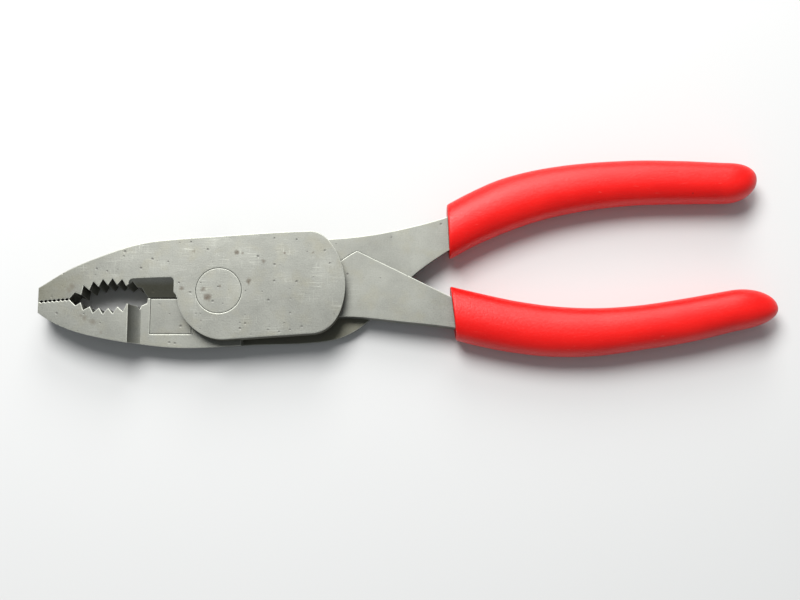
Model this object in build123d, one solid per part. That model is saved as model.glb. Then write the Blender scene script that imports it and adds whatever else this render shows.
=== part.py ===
"""Compound leverage pliers: two jaws, a lever, their pins and two dipped grips, lying on their back.

Millimetres. The origin is on the main pivot's axis in the back face, +X runs to the handles,
+Y to the upper handle and +Z to the front face, where the cheek and the pivot's head are.
"""
from build123d import *
from math import acos, asin, atan2, cos, degrees, hypot, radians, sin, sqrt
import os

# ---- thickness, from the back face up ----
THICKNESS = 12.0            # nose and cheek
RECESS_FLOOR = 3.6          # floor of the lever's recess
LEVER_BOTTOM = 3.7
LEVER_TOP = 7.7             # the lever's head, under the cheek
LAP_FACE = 7.8              # the lower forging under the cheek
CHEEK_BOTTOM = 7.9
CUTTER_EDGE_Z = 8.0         # the upper cutting edge, just above the lap face
CUTTER_EDGE_Y = -1.4
BEVEL_TOP_Y = 4.0           # where the cutter's bevel comes out in the front face
TANG_BOTTOM = 3.4
TANG_TOP = 8.2
LEVER_ARM_TOP = 8.6
GRIP_THICKNESS = 12.8
GRIP_ROUND = 1.2
NOSE_TAPER = 1.6            # how much each face of the nose tip is thinned
TAPER_START_X = -8.0
DRAFT = 7.0                 # slope of the forging's lower wall, degrees
STEP_X = -26.1              # where the lower nose ends, in front of the lap face
STEP_WIDTH = 3.1
NECK_START_X = 50.0         # where the handle rises to its tang
NECK_END_X = 66.5
LEVER_RISE_START_X = 38.6
LEVER_RISE_END_X = 62.0

# ---- linkage: both handles closed ----
LINK_ANGLE = -5.0           # direction of the line through the three pins
LINK_LENGTH = 15.5          # pivot to fulcrum, and fulcrum to drive pin: this makes the ratio one half
LEVER_TRAVEL = 50.0
PIVOT = (0.0, 0.0)
FULCRUM = (LINK_LENGTH * cos(radians(LINK_ANGLE)), LINK_LENGTH * sin(radians(LINK_ANGLE)))
DRIVE = (2 * FULCRUM[0], 2 * FULCRUM[1])

# ---- nose and teeth ----
NOSE_X = -52.4
NOSE_TOP_Y = 1.0
NOSE_BOTTOM_Y = -6.45
PARTING_SLOPE = 0.076
PARTING_Y = -3.1            # at the nose face
JAW_GAP = 0.08
FINE_TEETH = 7
FINE_PITCH = 1.24
FINE_DEPTH = 0.45
COARSE_TEETH = 5
TOOTH_ARC = 18.0            # radius of the arcs that the coarse teeth stand on

# ---- joint ----
BOSS_RADIUS = 12.2
BOSS_CLEARANCE = 0.2
SHOULDER_ANGLE = 85.0       # where the lower forging leaves the boss, at the top
HOOK_ANGLE = 116.0          # where the upper jaw's thick part ends, at the top
SHOULDER_Y = 15.5
LEVER_HEAD_RADIUS = 8.9
RECESS_CLEARANCE = 0.3
WALL_CLEARANCE = 0.08
RECESS_LEFT_X = FULCRUM[0] - LEVER_HEAD_RADIUS - RECESS_CLEARANCE
LEVER_SHOULDER = (34.4, 8.9)
LEVER_CORNER = (39.8, 12.5)
LEVER_BLEND = (37.1, 10.9)    # on the arc between the shoulder and the corner
LEVER_CROTCH = (65.6, -0.5)

# ---- pins and bushes ----
RUNNING_FIT = 0.03
PIVOT_HEAD_D = 13.4
PIVOT_HEAD_T = 2.2
PIVOT_D = 9.5
BUSH_D = 11.6
COLLAR_D = 13.0
COLLAR_T = 1.7
COLLAR_BORE_T = 1.8
TAIL_D = 7.6
FULCRUM_D = 6.0
FULCRUM_HEAD_D = 8.4
FULCRUM_HEAD_T = 1.2
FULCRUM_BUSH_D = 8.0
DRIVE_D = 4.5
DRIVE_HEAD_D = 6.4
DRIVE_TOP = 10.3
SLOT_TOP = 10.5
SLOT_FIT = 0.06
EDGE_BREAK = 0.22           # the small chamfer that shows round a flush pin
INSERT_PIN_D = 3.0
INSERT_PIN_TOP = 6.4

# ---- cutter insert ----
INSERT_LEFT_X = -20.4
INSERT_RIGHT_X = -8.2
INSERT_TOP_Y = -1.65
INSERT_BOTTOM_Y = -12.2
INSERT_BOTTOM_Z = 3.9
INSERT_PIN = (-14.0, -8.0)


def face_of(*curves):
    """A flat face in the XY plane bounded by the given curves, end to end."""
    edges = []
    for curve in curves:
        edges.extend(curve.edges())
    return make_face(edges)


def prism(face, low, high):
    """The face pushed up from height low to height high."""
    return extrude(Pos(0, 0, low) * face, amount=high - low)


def disc(centre, diameter, low, high):
    """An upright cylinder between two heights."""
    return Pos(centre[0], centre[1], low) * Cylinder(
        diameter / 2, high - low, align=(Align.CENTER, Align.CENTER, Align.MIN))


def side_cut(*curves):
    """A solid that spans the whole width in Y, bounded by a side profile of (x, z) curves."""
    return extrude(Plane.XZ * face_of(*curves), amount=60, both=True)


def polar(radius, angle):
    """A point at an angle in degrees round the main pivot."""
    return (radius * cos(radians(angle)), radius * sin(radians(angle)))


def parting(x):
    """Height of the line where the nose teeth meet."""
    return PARTING_Y + PARTING_SLOPE * (x - NOSE_X)


def crowned(x, crown_x, crown_y, side):
    """Height at x of an arc whose crown is at (crown_x, crown_y), falling to the other jaw."""
    drop = TOOTH_ARC - sqrt(TOOTH_ARC ** 2 - (x - crown_x) ** 2)
    return crown_y - side * drop


def fine_teeth(side):
    """Zigzag of the fine nose teeth from the nose back: side is 1 in the upper jaw, -1 in the lower."""
    points = [(NOSE_X, parting(NOSE_X) + side * JAW_GAP / 2)]
    for i in range(FINE_TEETH):
        tip_x = NOSE_X + 0.4 + i * FINE_PITCH
        notch_x = tip_x + FINE_PITCH / 2
        points.append((tip_x, parting(tip_x) + side * JAW_GAP / 2))
        points.append((notch_x, parting(notch_x) + side * FINE_DEPTH))
    last_x = NOSE_X + 0.4 + FINE_TEETH * FINE_PITCH
    points.append((last_x, parting(last_x) + side * JAW_GAP / 2))
    return points


def upper_jaw_edge():
    """The upper jaw's working edge, from the nose to the wire cutter."""
    points = fine_teeth(1)
    points += [(-41.7, -0.4), (-39.8, -1.2)]
    for i in range(COARSE_TEETH):
        notch_x = -39.2 + 2.8 * i
        tip_x = -37.5 + 2.68 * i
        points.append((notch_x, crowned(notch_x, -31.0, 3.65, 1)))
        points.append((tip_x, crowned(tip_x, -30.3, 1.7, 1)))
    points += [(-25.1, 2.9), (-23.9, 1.3), (-22.6, 1.2), (-21.1, -1.4), (-12.4, -1.4)]
    return points


def lower_jaw_edge():
    """The lower jaw's working edge, from the nose to the cutter insert."""
    points = fine_teeth(-1)
    points += [(-41.4, -4.3), (-39.9, -3.4)]
    for i in range(COARSE_TEETH):
        notch_x = -39.1 + 2.9 * i
        tip_x = -37.2 + 2.68 * i
        points.append((notch_x, crowned(notch_x, -32.6, -6.85, -1)))
        points.append((tip_x, crowned(tip_x, -33.0, -5.05, -1)))
    points += [(-24.1, -3.9), (-23.4, -4.95), (-22.9, -3.8), (-21.3, -3.1), (-21.1, INSERT_TOP_Y)]
    return points


def taper_drop(x):
    """How far each face of the nose has fallen at x."""
    return NOSE_TAPER * ((TAPER_START_X - x) / (TAPER_START_X - NOSE_X)) ** 2


def taper_arc(x, front):
    """The long arc of the nose's front or back face, from x back to where the taper starts."""
    middle = (x + TAPER_START_X) / 2
    points = [(x, taper_drop(x)), (middle, taper_drop(middle)), (TAPER_START_X, 0)]
    if front:
        points = [(px, THICKNESS - z) for px, z in points]
    return ThreePointArc(*points)


def nose_profile(rear_x):
    """Side profile of the upper jaw: the nose thins to its tip on both faces."""
    rear = Polyline((TAPER_START_X, 0), (rear_x, 0), (rear_x, THICKNESS), (TAPER_START_X, THICKNESS))
    tip = Line((NOSE_X, THICKNESS - NOSE_TAPER), (NOSE_X, NOSE_TAPER))
    return taper_arc(NOSE_X, False), rear, taper_arc(NOSE_X, True), tip


def upper_jaw_outline():
    """Nose, back, round rear end and lower edge of the cheek."""
    back = Spline((NOSE_X, NOSE_TOP_Y), (-44.0, 6.1), (-36.7, 9.3), (-29.9, 11.8), (-21.5, 14.1),
                  (-13.0, 15.1), (9.5, 16.7), (26.4, 17.6), tangents=((0.86, 0.51), (1.0, 0.04)))
    rear = Spline((26.4, 17.6), (29.9, 16.4), (33.1, 12.9), (35.8, 6.8), (36.6, 1.2), (36.0, -3.2),
                  (34.2, -7.9), (31.7, -10.7), (27.6, -12.4))
    bottom = Line((27.6, -12.4), (1.8, -14.2))
    front = Spline((1.8, -14.2), (-3.1, -13.4), (-7.1, -11.0), (-9.9, -7.9), (-11.9, -2.2))
    jaw = Polyline((-11.9, -2.2), *reversed(upper_jaw_edge()), (NOSE_X, NOSE_TOP_Y))
    return face_of(back, rear, bottom, front, jaw)


def lap_clearance():
    """What the upper jaw leaves free below the cheek for the lower forging."""
    reach = 70.0
    hook = polar(reach, HOOK_ANGLE)
    region = make_face(Polyline((0, 0), hook, (reach, hook[1]), (reach, -reach), (-12.0, -reach),
                                (-12.0, INSERT_TOP_Y), close=True).edges())
    boss = Circle(BOSS_RADIUS + BOSS_CLEARANCE)
    return prism(region, -1, CHEEK_BOTTOM) + prism(boss, -1, CHEEK_BOTTOM)


def wire_pocket():
    """The bevel that runs down to the upper cutting edge, between two upright end walls."""
    corner = 1.3
    opening = Polyline((STEP_X, -4.0), (STEP_X, 3.5), (-13.0, 4.1), (-13.0, -0.4), (-12.2, -1.4),
                       (-11.9, -4.0), close=True)
    face = make_face(opening.edges())
    upper = face.vertices().filter_by(lambda v: v.Y > 3)
    face = fillet(upper, corner)
    above = Polyline((BEVEL_TOP_Y, THICKNESS), (CUTTER_EDGE_Y, CUTTER_EDGE_Z), (-10, CUTTER_EDGE_Z),
                     (-10, THICKNESS + 2), (BEVEL_TOP_Y, THICKNESS + 2), close=True)
    wedge = extrude(Plane.YZ * make_face(above.edges()), amount=60, both=True)
    return prism(face, CUTTER_EDGE_Z, THICKNESS + 1) & wedge


def drive_slot():
    """Blind slot in the cheek's underside, along the line of the pins, for the drive pin's head."""
    rest = 2 * LINK_LENGTH
    shortest = rest * cos(radians(LEVER_TRAVEL / 2))
    play = 0.2
    length = rest - shortest + 2 * play
    slot = SlotCenterToCenter(length, DRIVE_HEAD_D + 2 * SLOT_FIT)
    middle = polar((rest + shortest) / 2, LINK_ANGLE)
    return prism(Pos(*middle) * Rot(0, 0, LINK_ANGLE) * slot, CHEEK_BOTTOM - 1, SLOT_TOP)


def make_upper_jaw():
    jaw = prism(upper_jaw_outline(), 0, THICKNESS)
    jaw = jaw & side_cut(*nose_profile(40))
    jaw = jaw - lap_clearance() - wire_pocket() - drive_slot()
    jaw = jaw - disc(PIVOT, PIVOT_D, CHEEK_BOTTOM - 1, THICKNESS)
    jaw = jaw - disc(PIVOT, PIVOT_HEAD_D, THICKNESS - PIVOT_HEAD_T, THICKNESS + 1)
    return jaw


def lower_wall():
    """The lower edge of the forging at the front face: nose, belly and the underside of the handle."""
    return Spline((NOSE_X, NOSE_BOTTOM_Y), (-44.0, -11.05), (-34.5, -13.7), (-26.0, -15.2), (-12.8, -16.7),
                  (10.0, -15.9), (29.0, -15.05), (35.0, -13.8), (40.5, -10.9), (56.0, 4.4), (66.4, 11.9),
                  (77.3, 18.2), (90.9, 24.3), (108.8, 27.9), (122.1, 28.9), (137.1, 29.2))


def drafted_room():
    """Everything above the lower wall, which slopes inwards towards the back face."""
    reach = 90.0
    above = Polyline((137.1, 29.2), (137.1 + reach, 29.2), (137.1 + reach, reach), (NOSE_X - reach, reach),
                     (NOSE_X - reach, NOSE_BOTTOM_Y), (NOSE_X, NOSE_BOTTOM_Y))
    slope = (0, sin(radians(DRAFT)), -cos(radians(DRAFT)))
    region = Pos(0, 0, THICKNESS) * face_of(lower_wall(), above)
    return extrude(region, amount=THICKNESS / cos(radians(DRAFT)), dir=slope)


def lower_forging_outline():
    """Lower nose, belly, upper handle with its tang, shoulder, boss and jaw edge."""
    nose = Line((NOSE_X, parting(NOSE_X) - JAW_GAP / 2), (NOSE_X, NOSE_BOTTOM_Y))
    end = ThreePointArc((137.1, 29.2), (139.9, 32.0), (137.1, 34.9))
    back = Spline((137.1, 34.9), (122.1, 35.4), (108.8, 34.9), (90.9, 31.7), (77.1, 26.9), (66.0, 22.45),
                  (55.1, 19.45), (42.1, 16.95), (32.2, 16.0), (20.0, SHOULDER_Y), (1.32, SHOULDER_Y))
    boss_end = 180 + degrees(asin(-INSERT_TOP_Y / BOSS_RADIUS))
    boss_start = polar(BOSS_RADIUS, SHOULDER_ANGLE)
    shoulder = Line((1.32, SHOULDER_Y), boss_start)
    boss = ThreePointArc(boss_start, polar(BOSS_RADIUS, (SHOULDER_ANGLE + boss_end) / 2),
                         polar(BOSS_RADIUS, boss_end))
    jaw = Polyline(polar(BOSS_RADIUS, boss_end), *reversed(lower_jaw_edge()))
    return face_of(nose, lower_wall(), end, back, shoulder, boss, jaw)


def lower_forging_profile():
    """Side profile: thin nose tip, a hollow step down to the lap face, and the rise to the tang."""
    lap_x = STEP_X + STEP_WIDTH
    step_top = THICKNESS - taper_drop(STEP_X)
    under = Line((TAPER_START_X, 0), (NECK_START_X, 0))
    under_rise = Spline((NECK_START_X, 0), (NECK_END_X, TANG_BOTTOM), tangents=((1, 0), (1, 0)))
    tang = Polyline((NECK_END_X, TANG_BOTTOM), (150, TANG_BOTTOM), (150, TANG_TOP), (NECK_END_X, TANG_TOP))
    rise = Spline((NECK_END_X, TANG_TOP), (NECK_START_X, LAP_FACE), tangents=((-1, 0), (-1, 0)))
    lap = Line((NECK_START_X, LAP_FACE), (lap_x, LAP_FACE))
    step = ThreePointArc((lap_x, LAP_FACE), (STEP_X + 0.8, LAP_FACE + 1.5), (STEP_X, step_top))
    front = Spline((STEP_X, step_top), ((STEP_X + NOSE_X) / 2, THICKNESS - taper_drop((STEP_X + NOSE_X) / 2)),
                   (NOSE_X, THICKNESS - NOSE_TAPER))
    tip = Line((NOSE_X, THICKNESS - NOSE_TAPER), (NOSE_X, NOSE_TAPER))
    return taper_arc(NOSE_X, False), under, under_rise, tang, rise, lap, step, front, tip


def lever_tangent():
    """Where the lever's straight upper edge leaves the round of its head."""
    dx = LEVER_SHOULDER[0] - FULCRUM[0]
    dy = LEVER_SHOULDER[1] - FULCRUM[1]
    angle = degrees(atan2(dy, dx) + acos(LEVER_HEAD_RADIUS / hypot(dx, dy)))
    x, y = polar(LEVER_HEAD_RADIUS, angle)
    return (FULCRUM[0] + x, FULCRUM[1] + y)


def lever_recess():
    """Room for the lever's head and arm in the lower forging, open to the lower right."""
    top = lever_tangent()
    reach = 90.0
    clear = WALL_CLEARANCE
    open_side = Polyline((top[0], top[1] + RECESS_CLEARANCE), (RECESS_LEFT_X, FULCRUM[1]),
                         (RECESS_LEFT_X, -reach), (reach, -reach), (reach, LEVER_CROTCH[1] - 12.0),
                         (LEVER_CROTCH[0], LEVER_CROTCH[1] + clear),
                         (LEVER_CORNER[0], LEVER_CORNER[1] + clear))
    corner = ThreePointArc((LEVER_CORNER[0], LEVER_CORNER[1] + clear),
                           (LEVER_BLEND[0] - clear / 2, LEVER_BLEND[1] + clear),
                           (LEVER_SHOULDER[0], LEVER_SHOULDER[1] + clear))
    wall = Line((LEVER_SHOULDER[0], LEVER_SHOULDER[1] + clear), (top[0], top[1] + RECESS_CLEARANCE))
    arm = face_of(open_side, corner, wall)
    head = Pos(*FULCRUM) * Circle(LEVER_HEAD_RADIUS + RECESS_CLEARANCE)
    return prism(arm, RECESS_FLOOR, THICKNESS + 1) + prism(head, RECESS_FLOOR, THICKNESS + 1)


def insert_block(top):
    """The room of the cutter insert, up to the given height."""
    width = INSERT_RIGHT_X - INSERT_LEFT_X
    height = INSERT_TOP_Y - INSERT_BOTTOM_Y
    return Pos(INSERT_LEFT_X, INSERT_BOTTOM_Y, INSERT_BOTTOM_Z) * Box(
        width, height, top - INSERT_BOTTOM_Z, align=(Align.MIN, Align.MIN, Align.MIN))


def make_lower_forging():
    body = prism(lower_forging_outline(), 0, THICKNESS)
    body = body & drafted_room()
    body = body & side_cut(*lower_forging_profile())
    body = body - lever_recess()
    body = body - insert_block(LAP_FACE + 1)
    body = body - disc(INSERT_PIN, INSERT_PIN_D, -1, INSERT_PIN_TOP)
    body = body - disc(PIVOT, BUSH_D, -1, LAP_FACE + 1)
    body = body - disc(PIVOT, COLLAR_D + 0.1, -1, COLLAR_BORE_T)
    body = body - disc(FULCRUM, FULCRUM_D, -1, LAP_FACE)
    return body - disc(FULCRUM, FULCRUM_HEAD_D, -1, FULCRUM_HEAD_T)


def lever_outline():
    """Round head, lower edge, tang, the ridge beside the upper handle and the corner."""
    top = lever_tangent()
    bottom = (FULCRUM[0], FULCRUM[1] - LEVER_HEAD_RADIUS)
    head = ThreePointArc(top, (FULCRUM[0] - LEVER_HEAD_RADIUS, FULCRUM[1]), bottom)
    belly = Spline(bottom, (25.1, -8.6), (35.4, -7.0), (50.0, -8.15), (68.4, -10.3), (77.1, -11.9),
                   (90.9, -14.2), (108.8, -14.7), (128.8, -12.1), (141.1, -9.7),
                   tangents=((1.0, 0.0), (1.0, 0.2)))
    end = ThreePointArc((141.1, -9.7), (143.7, -6.6), (141.1, -4.2))
    back = Spline((141.1, -4.2), (128.8, -6.2), (108.8, -8.2), (90.9, -7.3), (77.1, -4.2), LEVER_CROTCH,
                  tangents=((-1.0, -0.16), (-0.89, 0.45)))
    ridge = Line(LEVER_CROTCH, LEVER_CORNER)
    corner = ThreePointArc(LEVER_CORNER, LEVER_BLEND, LEVER_SHOULDER)
    shoulder = Line(LEVER_SHOULDER, top)
    return face_of(head, belly, end, back, ridge, corner, shoulder)


def make_lever():
    body = prism(lever_outline(), LEVER_BOTTOM, THICKNESS)
    arm = Polyline((LEVER_RISE_START_X, LEVER_TOP), (0, LEVER_TOP), (0, LEVER_BOTTOM), (150, LEVER_BOTTOM),
                   (150, LEVER_ARM_TOP), (LEVER_RISE_END_X, LEVER_ARM_TOP))
    rise = Spline((LEVER_RISE_END_X, LEVER_ARM_TOP), (LEVER_RISE_START_X, LEVER_TOP),
                  tangents=((-1, 0), (-1, 0)))
    body = body & side_cut(arm, rise)
    body = body - disc(FULCRUM, FULCRUM_BUSH_D, 0, THICKNESS)
    return body - disc(DRIVE, DRIVE_D, 0, THICKNESS)


def make_pivot_pin():
    """Head let in flush in the cheek, shank through the bush, tail riveted in the collar."""
    head = disc(PIVOT, PIVOT_HEAD_D, THICKNESS - PIVOT_HEAD_T, THICKNESS)
    head = chamfer(head.edges().group_by(Axis.Z)[-1], EDGE_BREAK)
    shank = disc(PIVOT, PIVOT_D, COLLAR_T, THICKNESS - PIVOT_HEAD_T)
    tail = disc(PIVOT, TAIL_D, 0, COLLAR_T)
    return head + shank + tail


def make_ring(centre, outer, inner, low, high):
    return disc(centre, outer, low, high) - disc(centre, inner, low - 1, high + 1)


def make_fulcrum_pin():
    """Flush head in the back face, shank through the floor of the recess and the lever."""
    head = disc(FULCRUM, FULCRUM_HEAD_D, 0, FULCRUM_HEAD_T)
    head = chamfer(head.edges().group_by(Axis.Z)[0], EDGE_BREAK)
    return head + disc(FULCRUM, FULCRUM_D, FULCRUM_HEAD_T, LAP_FACE - 0.05)


def make_drive_pin():
    """Shank pressed in the lever, head in the cheek's slot."""
    shank = disc(DRIVE, DRIVE_D, LEVER_BOTTOM + 0.05, CHEEK_BOTTOM + 0.05)
    return shank + disc(DRIVE, DRIVE_HEAD_D, CHEEK_BOTTOM + 0.05, DRIVE_TOP)


def make_cutter_insert():
    """Hardened block with a bevelled cutting edge, its face flush with the lap face."""
    block = insert_block(LAP_FACE)
    block = chamfer(block.edges().group_by(Axis.Z)[-1], EDGE_BREAK)
    return block - disc(INSERT_PIN, INSERT_PIN_D, 0, INSERT_PIN_TOP)


def upper_grip_outline():
    """Grip of the upper handle: a thick front, a long bow and a bullet nose."""
    front = Line((66.9, 10.2), (66.2, 26.4))
    sleeve = Spline((66.2, 26.4), (73.0, 30.0), (82.0, 34.0), (99.9, 38.1), (122.3, 39.7), (146.7, 39.1),
                    (154.2, 37.8), (157.8, 33.9), (154.8, 29.6), (146.7, 27.1), (119.8, 26.5),
                    (99.9, 23.4), (82.0, 17.4), (66.9, 10.2))
    return face_of(front, sleeve)


def lower_grip_outline():
    """Grip of the lever: the same, bowed the other way."""
    front = ThreePointArc((68.8, -13.8), (68.2, -4.2), (67.0, 2.0))
    sleeve = Spline((67.0, 2.0), (82.0, -1.3), (94.1, -3.6), (108.8, -4.4), (128.8, -2.7), (146.7, 0.5),
                    (154.6, 1.1), (160.9, -0.6), (162.7, -3.6), (160.0, -7.2), (153.4, -10.0),
                    (146.7, -12.0), (128.8, -15.6), (108.8, -18.4), (96.1, -18.6), (82.0, -16.8),
                    (68.8, -13.8))
    return face_of(front, sleeve)


def make_grip(outline, handle):
    """A dipped sleeve with rounded edges, fitted tight on the tang of its handle."""
    sleeve = prism(outline, 0, GRIP_THICKNESS)
    sleeve = fillet(sleeve.edges().filter_by(Plane.XY), GRIP_ROUND)
    return sleeve - handle


def build():
    """Every piece of the pliers, by name."""
    lower_forging = make_lower_forging()
    lever = make_lever()
    return {
        "upper_jaw": make_upper_jaw(),
        "lower_jaw_and_handle": lower_forging,
        "lower_handle": lever,
        "jaw_pivot_pin": make_pivot_pin(),
        "pivot_bush": make_ring(PIVOT, BUSH_D, PIVOT_D + 2 * RUNNING_FIT, COLLAR_BORE_T, LAP_FACE),
        "pivot_collar": make_ring(PIVOT, COLLAR_D, TAIL_D, 0, COLLAR_T),
        "fulcrum_pin": make_fulcrum_pin(),
        "fulcrum_bush": make_ring(FULCRUM, FULCRUM_BUSH_D, FULCRUM_D + 2 * RUNNING_FIT,
                                  LEVER_BOTTOM, LEVER_TOP),
        "drive_pin": make_drive_pin(),
        "cutter_insert": make_cutter_insert(),
        "insert_pin": disc(INSERT_PIN, INSERT_PIN_D, 0, INSERT_PIN_TOP),
        "upper_grip": make_grip(upper_grip_outline(), lower_forging),
        "lower_grip": make_grip(lower_grip_outline(), lever),
    }


os.makedirs("parts", exist_ok=True)
for name, solid in build().items():
    export_step(solid, f"parts/{name}.step")
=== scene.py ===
"""Looks of the compound leverage pliers: steel finishes, dipped vinyl grips, floor and light.

Metres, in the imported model's frame: +X from nose to handles, +Y to the upper handle, +Z up.
"""
import math

import bpy
import bmesh
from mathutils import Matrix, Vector, noise


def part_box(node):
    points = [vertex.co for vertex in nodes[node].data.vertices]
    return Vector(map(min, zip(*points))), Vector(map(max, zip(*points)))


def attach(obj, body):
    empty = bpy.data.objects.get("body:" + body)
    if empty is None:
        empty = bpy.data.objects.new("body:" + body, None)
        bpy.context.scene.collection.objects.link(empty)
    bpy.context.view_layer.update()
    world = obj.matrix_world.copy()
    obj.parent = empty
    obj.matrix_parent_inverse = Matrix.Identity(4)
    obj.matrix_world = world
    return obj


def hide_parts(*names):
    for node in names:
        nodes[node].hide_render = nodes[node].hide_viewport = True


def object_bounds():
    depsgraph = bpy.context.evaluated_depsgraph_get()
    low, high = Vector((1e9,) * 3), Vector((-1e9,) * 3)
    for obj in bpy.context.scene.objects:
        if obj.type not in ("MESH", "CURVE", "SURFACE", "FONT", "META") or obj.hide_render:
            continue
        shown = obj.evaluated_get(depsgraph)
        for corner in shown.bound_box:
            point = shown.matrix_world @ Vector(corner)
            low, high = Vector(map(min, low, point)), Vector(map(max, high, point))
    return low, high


MM = 0.001

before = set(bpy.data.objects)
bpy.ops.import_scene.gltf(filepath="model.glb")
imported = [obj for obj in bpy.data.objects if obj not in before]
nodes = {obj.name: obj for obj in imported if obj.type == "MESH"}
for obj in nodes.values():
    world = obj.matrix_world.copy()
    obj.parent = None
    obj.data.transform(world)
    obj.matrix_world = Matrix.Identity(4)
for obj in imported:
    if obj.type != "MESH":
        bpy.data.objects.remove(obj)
cad_low, cad_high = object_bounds()
scene = bpy.context.scene


# ---------------------------------------------------------------- camera

CAMERA_TARGET = (52.4 * MM, -2.0 * MM, 7.0 * MM)
CAMERA_DISTANCE = 396 * MM
CAMERA_LEAN = math.radians(9.0)     # how far it stands to the lower side of straight above
CAMERA_LENS = 61.0


def make_camera():
    data = bpy.data.cameras.new("camera")
    data.lens = CAMERA_LENS
    data.clip_start = 0.01
    camera = bpy.data.objects.new("camera", data)
    scene.collection.objects.link(camera)
    away = Vector((0.0, -math.sin(CAMERA_LEAN), math.cos(CAMERA_LEAN)))
    camera.location = Vector(CAMERA_TARGET) + away * CAMERA_DISTANCE
    camera.rotation_euler = (CAMERA_LEAN, 0.0, 0.0)
    scene.camera = camera


make_camera()


# ---------------------------------------------------------------- node tools

class Shader:
    """A small helper that adds nodes to one material and joins them."""

    def __init__(self, name):
        self.material = bpy.data.materials.new(name)
        self.material.use_nodes = True
        self.tree = self.material.node_tree
        self.surface = self.tree.nodes["Principled BSDF"]
        coordinates = self.node("ShaderNodeTexCoord")
        to_mm = self.node("ShaderNodeMapping", {"Scale": (1 / MM, 1 / MM, 1 / MM)})
        self.join(coordinates.outputs["Object"], to_mm, "Vector")
        self.mm = to_mm.outputs["Vector"]

    def node(self, kind, inputs=None, **settings):
        made = self.tree.nodes.new(kind)
        for key, value in settings.items():
            setattr(made, key, value)
        for key, value in (inputs or {}).items():
            if isinstance(value, bpy.types.NodeSocket):
                self.tree.links.new(value, made.inputs[key])
            else:
                made.inputs[key].default_value = value
        return made

    def join(self, output, node, key):
        self.tree.links.new(output, node.inputs[key])

    def stretch(self, scale, turn=0.0):
        """Coordinates in mm, turned about Z and scaled, for grain that runs one way."""
        mapping = self.node("ShaderNodeMapping", {
            "Vector": self.mm, "Rotation": (0, 0, turn), "Scale": scale})
        return mapping.outputs["Vector"]

    def noise(self, scale, detail=2.0, vector=None, distortion=0.0, roughness=0.5):
        made = self.node("ShaderNodeTexNoise", {
            "Vector": vector or self.mm, "Scale": scale, "Detail": detail,
            "Distortion": distortion, "Roughness": roughness})
        return made.outputs["Fac"]

    def spots(self, scale, vector=None):
        """Distance to the nearest point of a scatter, and a random colour for each point."""
        made = self.node("ShaderNodeTexVoronoi", {"Vector": vector or self.mm, "Scale": scale})
        return made.outputs["Distance"], made.outputs["Color"]

    def ramp(self, value, low, high, to_low=0.0, to_high=1.0):
        made = self.node("ShaderNodeMapRange", {
            "Value": value, "From Min": low, "From Max": high, "To Min": to_low, "To Max": to_high})
        return made.outputs["Result"]

    def maths(self, operation, a, b=0.0):
        made = self.node("ShaderNodeMath", operation=operation)
        for i, value in enumerate((a, b)):
            if isinstance(value, bpy.types.NodeSocket):
                self.tree.links.new(value, made.inputs[i])
            else:
                made.inputs[i].default_value = value
        return made.outputs["Value"]

    def mix(self, factor, a, b):
        made = self.node("ShaderNodeMix", data_type="RGBA")
        for key, value in (("Factor", factor), ("A", a), ("B", b)):
            socket = [s for s in made.inputs if s.name == key and s.type in ("VALUE", "RGBA")]
            socket = [s for s in socket if (s.type == "VALUE") == (key == "Factor")][0]
            if isinstance(value, bpy.types.NodeSocket):
                self.tree.links.new(value, socket)
            else:
                socket.default_value = value if key == "Factor" else (*value, 1.0)
        return [s for s in made.outputs if s.type == "RGBA"][0]

    def bump(self, height, distance_mm, strength=1.0, normal=None):
        made = self.node("ShaderNodeBump", {
            "Height": height, "Distance": distance_mm * MM, "Strength": strength})
        if normal:
            self.join(normal, made, "Normal")
        return made.outputs["Normal"]

    def set(self, key, value):
        if isinstance(value, bpy.types.NodeSocket):
            self.join(value, self.surface, key)
        elif self.surface.inputs[key].type == "RGBA":
            self.surface.inputs[key].default_value = (*value, 1.0)
        else:
            self.surface.inputs[key].default_value = value


# ---------------------------------------------------------------- steel

STEEL_COLOUR = (0.200, 0.203, 0.178)
METALLIC = 0.6
WARM = (1.02, 0.96, 0.80)           # the yellowish cast of old plating
RUST_COLOUR = (0.105, 0.080, 0.052)
PIT_COLOUR = (0.050, 0.045, 0.036)
# olive tint for grime and for painted shade in the recesses
GRIME_AND_SHADE_COLOUR = (0.085, 0.078, 0.040)
GRAIN_MM = 0.022
EDGE_EASE = 0.6                     # how far an edge's normal leans to the round of its bevel
RAGGED_MM = 1.3                     # how uneven the edge of a stain is
EDGE_RADIUS_MM = 0.5                # how wide a rounded edge is, lightened as wear and painted highlight
GRIME_AND_SHADE_DEPTH_MM = 1.0                # height over which the grime and painted shade come in

VINYL_DARK = (0.70, 0.004, 0.003)
VINYL_LIGHT = (0.80, 0.008, 0.005)
VINYL_GRAIN = (0.86, 0.05, 0.045)
VINYL_SCUFF = (0.80, 0.16, 0.13)
VINYL_DUST = (0.10, 0.01, 0.01)

# Stains: x, y and radius in mm, then strength.
CHEEK_STAINS = [
    (5.0, 11.2, 0.95, 0.75), (6.8, 11.0, 0.55, 0.5), (8.6, 2.7, 0.9, 0.85), (-10.6, 0.6, 0.9, 0.6),
    (12.8, 8.6, 0.8, 0.6), (18.9, 10.9, 0.5, 0.75), (-42.6, 1.3, 1.1, 0.5), (-43.4, 0.2, 0.9, 0.4),
    (27.2, 11.2, 0.45, 0.6), (-7.4, 11.6, 0.5, 0.35)]
LOWER_STAINS = [
    (-38.6, -8.0, 1.0, 0.45), (-36.2, -9.0, 1.3, 0.45), (-39.6, -7.2, 0.7, 0.4), (-33.6, -12.2, 0.5, 0.35)]
PIN_STAINS = [(-3.2, -2.0, 1.35, 0.95), (-4.5, 0.4, 0.9, 0.6), (0.3, 1.3, 0.4, 0.8)]


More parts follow.
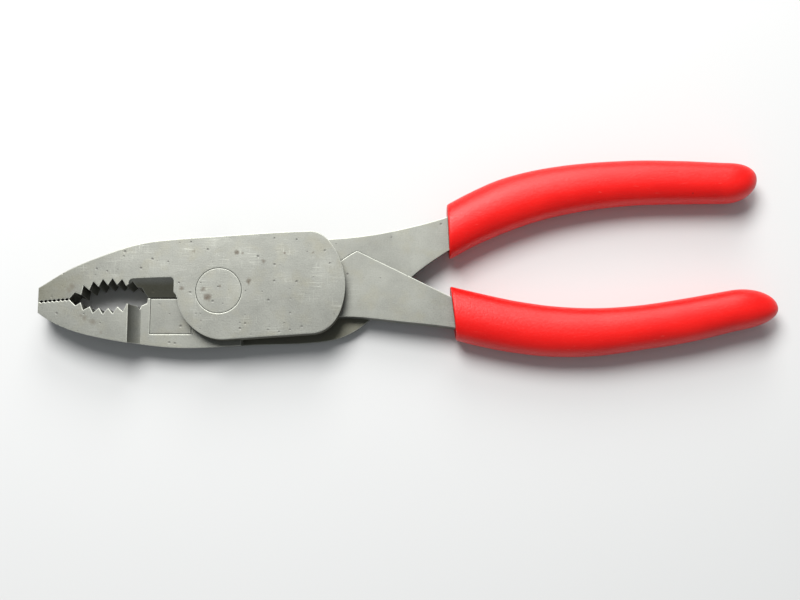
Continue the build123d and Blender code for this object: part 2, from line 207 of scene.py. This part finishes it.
def rounded_edge(shader, radius_mm):
    """A normal that eases sharp edges, and a mask: 1 on the edges and 0 on flat faces."""
    bevel = shader.node("ShaderNodeBevel", {"Radius": radius_mm * MM}, samples=8)
    geometry = shader.node("ShaderNodeNewGeometry")
    dot = shader.node("ShaderNodeVectorMath", operation="DOT_PRODUCT")
    shader.join(bevel.outputs["Normal"], dot, 0)
    shader.join(geometry.outputs["Normal"], dot, 1)
    part = shader.node("ShaderNodeVectorMath", operation="SCALE")
    shader.join(bevel.outputs["Normal"], part, 0)
    part.inputs["Scale"].default_value = EDGE_EASE
    total = shader.node("ShaderNodeVectorMath", operation="ADD")
    shader.join(part.outputs["Vector"], total, 0)
    shader.join(geometry.outputs["Normal"], total, 1)
    eased = shader.node("ShaderNodeVectorMath", operation="NORMALIZE")
    shader.join(total.outputs["Vector"], eased, 0)
    return eased.outputs["Vector"], shader.ramp(dot.outputs["Value"], 0.995, 0.93)


def stain_mask(shader, stains):
    """Soft uneven patches at given places: each stain is x, y, radius in mm and strength."""
    ragged = shader.node("ShaderNodeTexNoise", {"Vector": shader.mm, "Scale": 0.9, "Detail": 3.0})
    shift = shader.node("ShaderNodeVectorMath", operation="SUBTRACT")
    shader.join(ragged.outputs["Color"], shift, 0)
    shift.inputs[1].default_value = (0.5, 0.5, 0.5)
    grow = shader.node("ShaderNodeVectorMath", operation="SCALE")
    shader.join(shift.outputs["Vector"], grow, 0)
    grow.inputs["Scale"].default_value = RAGGED_MM
    moved = shader.node("ShaderNodeVectorMath", operation="ADD")
    shader.join(shader.mm, moved, 0)
    shader.join(grow.outputs["Vector"], moved, 1)
    flat = shader.node("ShaderNodeVectorMath", operation="MULTIPLY")
    shader.join(moved.outputs["Vector"], flat, 0)
    flat.inputs[1].default_value = (1.0, 1.0, 0.0)
    total = 0.0
    for x, y, radius, strength in stains:
        away = shader.node("ShaderNodeVectorMath", operation="DISTANCE")
        shader.join(flat.outputs["Vector"], away, 0)
        away.inputs[1].default_value = (x, y, 0.0)
        patch = shader.ramp(away.outputs["Value"], radius, 0.25 * radius, 0.0, strength)
        total = shader.maths("MAXIMUM", patch, total)
    return total


def steel(name, colour, roughness, lines=0.5, rust=0.5, pits=0.5, stains=(), grime_and_shade_z=-1.0):
    """Satin forged steel: cloudy tone, fine blasted grain, grinding lines, pits, rust, and edges lightened as
    wear and painted highlight.

    Grime and painted shade darken it below a given height, in mm.
    """
    s = Shader(name)

    def shade(factor):
        return tuple(min(1.0, c * factor) for c in colour)

    cloud = s.ramp(s.noise(0.11, 4.0, roughness=0.6), 0.32, 0.68)
    tone = s.mix(cloud, shade(0.86), shade(1.10))
    warm = s.ramp(s.noise(0.19, 3.0), 0.50, 0.72, 0.0, 0.45)
    tone = s.mix(warm, tone, tuple(c * w for c, w in zip(colour, WARM)))

    grain = s.noise(2.6, 3.0, roughness=0.65)
    tone = s.mix(s.ramp(grain, 0.52, 0.78, 0.0, 0.7), tone, shade(1.35))
    tone = s.mix(s.ramp(grain, 0.46, 0.24, 0.0, 0.8), tone, shade(0.66))

    along = s.noise(1.0, 3.0, s.stretch((0.16, 5.0, 1.0)))
    across = s.noise(1.0, 3.0, s.stretch((5.0, 0.20, 1.0)))
    streak = s.maths("MAXIMUM", s.ramp(along, 0.54, 0.72, 0.0, lines),
                     s.ramp(across, 0.57, 0.74, 0.0, lines))
    patchy = s.ramp(s.noise(0.16, 3.0, s.stretch((1, 1, 1), 0.6)), 0.46, 0.62)
    streak = s.maths("MULTIPLY", streak, patchy)
    tone = s.mix(streak, tone, shade(1.55))

    distance, random = s.spots(0.62)
    chosen = s.ramp(s.node("ShaderNodeSeparateColor", {"Color": random}).outputs["Red"], 1 - 0.36 * pits, 1.0)
    reach = s.maths("ADD", s.maths("MULTIPLY", chosen, 0.26), 0.05)
    pit = s.ramp(s.maths("DIVIDE", distance, reach), 1.0, 0.3)
    pit = s.maths("MULTIPLY", pit, s.ramp(chosen, 0.0, 0.05))
    tone = s.mix(s.maths("MULTIPLY", pit, 0.55), tone, PIT_COLOUR)

    speckle = s.noise(0.42, 5.0, distortion=0.5, roughness=0.65)
    stain = s.ramp(speckle, 0.79 - 0.13 * rust, 0.88 - 0.13 * rust, 0.0, 0.6)
    if stains:
        mottled = s.ramp(grain, 0.35, 0.6, 0.55, 1.0)
        stain = s.maths("MAXIMUM", stain, s.maths("MULTIPLY", stain_mask(s, stains), mottled))
    tone = s.mix(stain, tone, RUST_COLOUR)

    # Painted shade with some grime: below a given height, where the recesses lie in shade, the steel turns
    # towards an olive dark.
    height_mm = s.node("ShaderNodeSeparateXYZ", {"Vector": s.mm}).outputs["Z"]
    grime_and_shade = s.ramp(height_mm, grime_and_shade_z, grime_and_shade_z - GRIME_AND_SHADE_DEPTH_MM, 0.0, 0.55)
    tone = s.mix(grime_and_shade, tone, GRIME_AND_SHADE_COLOUR)

    rounded, edge = rounded_edge(s, EDGE_RADIUS_MM)
    # Edges are lightened: partly wear, partly a painted highlight along the rims.
    worn_edge_and_highlight = s.maths("MULTIPLY", edge, s.ramp(grain, 0.30, 0.5, 0.45, 0.9))
    tone = s.mix(worn_edge_and_highlight, tone, shade(2.1))

    s.set("Base Color", tone)
    clean = s.maths("SUBTRACT", 1.0, s.maths("MAXIMUM", stain, pit))
    s.set("Metallic", s.maths("MULTIPLY", clean, METALLIC))
    rough = s.ramp(grain, 0.3, 0.7, roughness - 0.06, roughness + 0.08)
    rough = s.maths("SUBTRACT", rough, s.maths("MULTIPLY", streak, 0.10))
    rough = s.maths("ADD", rough, s.maths("MULTIPLY", stain, 0.3))
    s.set("Roughness", rough)
    height = s.maths("ADD", grain, s.maths("MULTIPLY", along, 0.5 * lines))
    height = s.maths("ADD", height, s.maths("MULTIPLY", across, 0.3 * lines))
    height = s.maths("SUBTRACT", height, s.maths("MULTIPLY", pit, 3.0))
    s.set("Normal", s.bump(height, GRAIN_MM, 0.7, rounded))
    return s.material


def vinyl(name):
    """Dipped red vinyl: satin skin with a fine grain, faint clouds, scuffs and dust specks."""
    s = Shader(name)
    cloud = s.ramp(s.noise(0.07, 3.0), 0.3, 0.7)
    grain = s.noise(2.0, 4.0, roughness=0.7)
    tone = s.mix(cloud, VINYL_DARK, VINYL_LIGHT)
    tone = s.mix(s.ramp(grain, 0.55, 0.75, 0.0, 0.22), tone, VINYL_GRAIN)
    scuff = s.noise(1.0, 3.0, s.stretch((0.5, 2.6, 1.0), 0.5))
    scuff = s.maths("MULTIPLY", s.ramp(scuff, 0.66, 0.76), s.ramp(s.noise(0.13), 0.5, 0.6))
    tone = s.mix(s.maths("MULTIPLY", scuff, 0.35), tone, VINYL_SCUFF)
    distance, random = s.spots(0.42)
    chosen = s.ramp(s.node("ShaderNodeSeparateColor", {"Color": random}).outputs["Red"], 0.82, 1.0)
    speck = s.maths("LESS_THAN", distance, s.maths("MULTIPLY", chosen, 0.09))
    tone = s.mix(s.maths("MULTIPLY", speck, 0.6), tone, VINYL_DUST)
    s.set("Base Color", tone)
    s.set("Roughness", s.ramp(grain, 0.3, 0.7, 0.30, 0.46))
    s.set("IOR", 1.5)
    s.set("Specular IOR Level", 0.34)
    s.set("Subsurface Weight", 0.05)
    s.set("Subsurface Radius", (0.002, 0.0006, 0.0004))
    s.set("Normal", s.bump(grain, 0.10, 0.8))
    return s.material


def toned(factor):
    """The steel's colour, darker or lighter."""
    return tuple(c * factor for c in STEEL_COLOUR)


finish = {
    "upper_jaw": steel("ground_cheek_steel", toned(0.84), 0.42, lines=0.85, rust=0.6, pits=0.8,
                       stains=CHEEK_STAINS, grime_and_shade_z=11.3),
    "lower_jaw_and_handle": steel("forged_steel", toned(0.92), 0.46, lines=0.30, rust=0.4, pits=0.45,
                                  stains=LOWER_STAINS, grime_and_shade_z=6.0),
    "lower_handle": steel("lever_steel", toned(0.95), 0.47, lines=0.25, rust=0.25, pits=0.35),
    "jaw_pivot_pin": steel("pivot_pin_steel", toned(0.90), 0.42, lines=0.7, rust=0.5, pits=0.8,
                           stains=PIN_STAINS),
    "cutter_insert": steel("cutter_steel", toned(0.80), 0.42, lines=0.3, rust=0.8, pits=0.9),
}
pin_steel = steel("pin_steel", STEEL_COLOUR, 0.35, lines=0.5, rust=0.3, pits=0.3)
red_vinyl = vinyl("red_vinyl")


def give(piece, material):
    piece.data.materials.clear()
    piece.data.materials.append(material)


for name, node in nodes.items():
    give(node, red_vinyl if name.endswith("grip") else finish.get(name, pin_steel))


# ---------------------------------------------------------------- dipped grips

# Plan outlines in mm: pairs of points across the grip from its cut front to where the bullet tip starts,
# then the point of the tip.
UPPER_GRIP_PAIRS = [
    ((66.2, 26.4), (66.9, 10.2)),
    ((72.9, 30.0), (75.8, 15.0)),
    ((82.1, 34.1), (86.3, 19.4)),
    ((94.1, 37.2), (97.2, 22.9)),
    ((108.1, 39.0), (109.6, 25.3)),
    ((122.3, 39.75), (122.3, 26.6)),
    ((135.6, 39.6), (135.1, 27.0)),
    ((148.4, 39.05), (147.4, 27.1)),
]
UPPER_GRIP_TIP = (158.1, 33.7)
LOWER_GRIP_PAIRS = [
    ((67.00, 2.00), (68.80, -13.80)),
    ((75.40, 0.00), (73.70, -15.10)),
    ((86.10, -2.30), (83.60, -17.10)),
    ((96.70, -3.80), (95.30, -18.50)),
    ((108.80, -4.40), (109.10, -18.40)),
    ((121.10, -3.70), (122.70, -16.60)),
    ((133.60, -1.85), (136.30, -14.40)),
    ((147.30, 0.55), (150.60, -11.00)),
]
LOWER_GRIP_TIP = (162.70, -3.70)

RING = 64                   # points round a grip
STATIONS = 84               # rings from the front to the tip
TIP_RINGS = 22
CAVITY_RINGS = 40
TIP_BLUNTNESS = 2.4         # 2 is a round tip, more is blunter
SQUARENESS = 2.35           # 2 is an ellipse
TANG_SQUARENESS = 12.0
GRIP_THICKNESS = 12.8 * MM
LIP_ROUND = 0.5 * MM        # rounded edge of the cut front
LIP_STEPS = 5
FACE_STEPS = 4
FACE_DISH = 0.25 * MM
CAVITY_PLAY = 0.12 * MM
WAVINESS = 0.07 * MM


def smooth_line(points, t):
    """A Catmull-Rom curve through the points, at t from 0 to 1."""
    last = len(points) - 1
    place = min(t * last, last - 1e-9)
    i = int(place)
    u = place - i
    p1, p2 = points[i], points[i + 1]
    p0 = points[i - 1] if i > 0 else 2 * p1 - p2
    p3 = points[i + 2] if i + 2 <= last else 2 * p2 - p1
    return 0.5 * (2 * p1 + (p2 - p0) * u + (2 * p0 - 5 * p1 + 4 * p2 - p3) * u ** 2
                  + (3 * p1 - p0 - 3 * p2 + p3) * u ** 3)


def section(top, bottom, height, centre_z, squareness):
    """A ring through top and bottom, two points in plan, as tall as height."""
    middle = (top + bottom) / 2
    across = (top - bottom) / 2
    ring = []
    for i in range(RING):
        angle = 2 * math.pi * i / RING
        c, s = math.cos(angle), math.sin(angle)
        side = math.copysign(abs(c) ** (2 / squareness), c)
        rise = math.copysign(abs(s) ** (2 / squareness), s)
        point = middle + across * side
        ring.append(Vector((point.x, point.y, centre_z + rise * height / 2)))
    return ring


def tang_shape(handle, from_x, grip_middle):
    """A tang read from its CAD mesh: its upper and lower edges in plan, and its lowest and highest z."""
    vertices = [v.co for v in nodes[handle].data.vertices if v.co.x > from_x]
    upper = sorted((v.x, v.y) for v in vertices if v.y > grip_middle(v.x))
    lower = sorted((v.x, v.y) for v in vertices if v.y <= grip_middle(v.x))
    far = [v.z for v in vertices if v.x > from_x + 40 * MM]
    return upper, lower, min(far), max(far)


def height_at(edge, x):
    """The y of an edge, a sorted list of (x, y), at x."""
    for (x0, y0), (x1, y1) in zip(edge, edge[1:]):
        if x0 <= x <= x1 and x1 > x0:
            return y0 + (y1 - y0) * (x - x0) / (x1 - x0)
    return edge[-1][1]


def tip_rings(top, bottom, heading, tip, centre_z):
    """Rings that close in to the point of the bullet tip, leaving the body in the direction heading."""
    rings = []
    start = (top + bottom) / 2
    across = (top - bottom) / 2
    bend = start + heading * (tip - start).length / 2
    for k in range(1, TIP_RINGS):
        u = math.sin(math.pi / 2 * k / TIP_RINGS)
        shrink = (1 - u ** TIP_BLUNTNESS) ** 0.5
        middle = (1 - u) ** 2 * start + 2 * u * (1 - u) * bend + u ** 2 * tip
        reach = across * shrink
        rings.append(section(middle + reach, middle - reach, GRIP_THICKNESS * shrink,
                             centre_z, SQUARENESS))
    return rings


def outer_rings(tops, bottoms, centre_z):
    """The rounded lip, then the long body of the grip."""
    rings = []
    length = (tops[1] - tops[0]).length * (len(tops) - 1)
    for k in range(LIP_STEPS + 1):
        turn = math.pi / 2 * k / LIP_STEPS
        inset = LIP_ROUND * (1 - math.sin(turn))
        t = LIP_ROUND * (1 - math.cos(turn)) / length
        top, bottom = smooth_line(tops, t), smooth_line(bottoms, t)
        inward = (bottom - top).normalized() * inset
        rings.append(section(top + inward, bottom - inward, GRIP_THICKNESS - 2 * inset,
                             centre_z, SQUARENESS))
    start = 2.5 * LIP_ROUND / length
    for k in range(STATIONS + 1):
        t = start + (1 - start) * k / STATIONS
        top, bottom = smooth_line(tops, t), smooth_line(bottoms, t)
        rings.append(section(top, bottom, GRIP_THICKNESS, centre_z, SQUARENESS))
    return rings


def cavity_rings(tops, bottoms, handle):
    """The hollow that the tang fills, from its end out to the cut front."""
    middles = sorted(((a.x + b.x) / 2, (a.y + b.y) / 2) for a, b in zip(tops, bottoms))
    slope = (middles[1][1] - middles[0][1]) / (middles[1][0] - middles[0][0])

    def grip_middle(x):
        if x < middles[0][0]:
            return middles[0][1] + slope * (x - middles[0][0])
        return height_at(middles, x)

    upper, lower, low_z, high_z = tang_shape(handle, tops[0].x - 5 * MM, grip_middle)
    end_x = upper[-1][0] - 0.2 * MM
    rings = []
    for k in range(CAVITY_RINGS + 1):
        t = 1 - k / CAVITY_RINGS
        x_high = tops[0].x + (bottoms[0].x - tops[0].x) * 0.2
        x_low = tops[0].x + (bottoms[0].x - tops[0].x) * 0.8
        x_high += (end_x - x_high) * t
        x_low += (end_x - x_low) * t
        high = Vector((x_high, height_at(upper, x_high) + CAVITY_PLAY))
        low = Vector((x_low, height_at(lower, x_low) - CAVITY_PLAY))
        height = high_z - low_z + 2 * CAVITY_PLAY
        rings.append(section(high, low, height, (low_z + high_z) / 2, TANG_SQUARENESS))
    return rings


def wavy(ring):
    """The slight unevenness of a dipped skin."""
    middle = sum(ring, Vector()) / len(ring)
    moved = []
    for point in ring:
        wave = noise.noise(point * 90.0) + 0.5 * noise.noise(point * 260.0)
        moved.append(point - (point - middle).normalized() * WAVINESS * (1 + wave) / 2)
    return moved


def bridge(mesh, rings, tip):
    """Closed skin over the rings, with a flat cap on the first and a point after the last."""
    loops = [[mesh.verts.new(point) for point in ring] for ring in rings]
    for a, b in zip(loops, loops[1:]):
        for i in range(RING):
            j = (i + 1) % RING
            mesh.faces.new((a[i], a[j], b[j], b[i]))
    mesh.faces.new(reversed(loops[0]))
    point = mesh.verts.new(tip)
    for i in range(RING):
        mesh.faces.new((loops[-1][i], loops[-1][(i + 1) % RING], point))


def make_grip(name, node, body, handle, pairs, tip):
    """One dipped grip: a closed mesh that rides on the body and stands in for the plain CAD sleeve."""
    tops = [Vector(top) * MM for top, _ in pairs]
    bottoms = [Vector(bottom) * MM for _, bottom in pairs]
    tip = Vector(tip) * MM
    centre_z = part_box(node)[0].z + GRIP_THICKNESS / 2
    cavity = cavity_rings(tops, bottoms, handle)
    outer = outer_rings(tops, bottoms, centre_z)
    face = []
    inward = (bottoms[0] - tops[0]).normalized()
    inward = Vector((-inward.y, inward.x, 0.0))
    for k in range(1, FACE_STEPS):
        t = k / FACE_STEPS
        dish = inward * FACE_DISH * math.sin(math.pi * t)
        face.append([p.lerp(q, t) + dish for p, q in zip(cavity[-1], outer[0])])
    heading = (tops[-1] + bottoms[-1] - tops[-2] - bottoms[-2]).normalized()
    skin = [wavy(ring) for ring in outer + tip_rings(tops[-1], bottoms[-1], heading, tip, centre_z)]

    data = bpy.data.meshes.new(name)
    mesh = bmesh.new()
    bridge(mesh, cavity + face + skin, (tip.x, tip.y, centre_z))
    bmesh.ops.recalc_face_normals(mesh, faces=mesh.faces)
    for face_made in mesh.faces:
        face_made.smooth = True
    mesh.to_mesh(data)
    mesh.free()
    grip = bpy.data.objects.new(name, data)
    scene.collection.objects.link(grip)
    give(grip, red_vinyl)
    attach(grip, body)
    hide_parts(node)


make_grip("upper_dipped_grip", "upper_grip", "frame", "lower_jaw_and_handle",
          UPPER_GRIP_PAIRS, UPPER_GRIP_TIP)
make_grip("lower_dipped_grip", "lower_grip", "lever", "lower_handle", LOWER_GRIP_PAIRS, LOWER_GRIP_TIP)


# ---------------------------------------------------------------- floor and light

FLOOR_HALF = 1.5
FLOOR_COLOUR = (0.62, 0.62, 0.61)
WORLD_COLOUR = (0.9, 0.95, 1.0, 1.0)
WORLD_STRENGTH = 0.30


def make_floor():
    mesh = bpy.data.meshes.new("floor")
    bm = bmesh.new()
    bmesh.ops.create_grid(bm, x_segments=1, y_segments=1, size=FLOOR_HALF)
    bm.to_mesh(mesh)
    bm.free()
    floor = bpy.data.objects.new("floor", mesh)
    floor.location = (CAMERA_TARGET[0], CAMERA_TARGET[1], cad_low.z)
    scene.collection.objects.link(floor)
    s = Shader("pale_floor")
    s.set("Base Color", FLOOR_COLOUR)
    s.set("Roughness", 0.9)
    give(floor, s.material)


def make_light(name, place, size, power, target=(0.05, 0.0, 0.0)):
    data = bpy.data.lights.new(name, "AREA")
    data.shape = "DISK"
    data.size = size
    data.energy = power
    light = bpy.data.objects.new(name, data)
    light.location = place
    light.rotation_euler = (Vector(target) - Vector(place)).to_track_quat("-Z", "Y").to_euler()
    scene.collection.objects.link(light)


make_floor()
make_light("key", (-0.12, 0.40, 0.70), 0.45, 8.4)
make_light("back", (0.12, 0.80, 0.48), 0.50, 4.5)
world = bpy.data.worlds.new("studio")
world.use_nodes = True
world.node_tree.nodes["Background"].inputs["Color"].default_value = WORLD_COLOUR
world.node_tree.nodes["Background"].inputs["Strength"].default_value = WORLD_STRENGTH
scene.world = world
scene.view_settings.view_transform = "Standard"
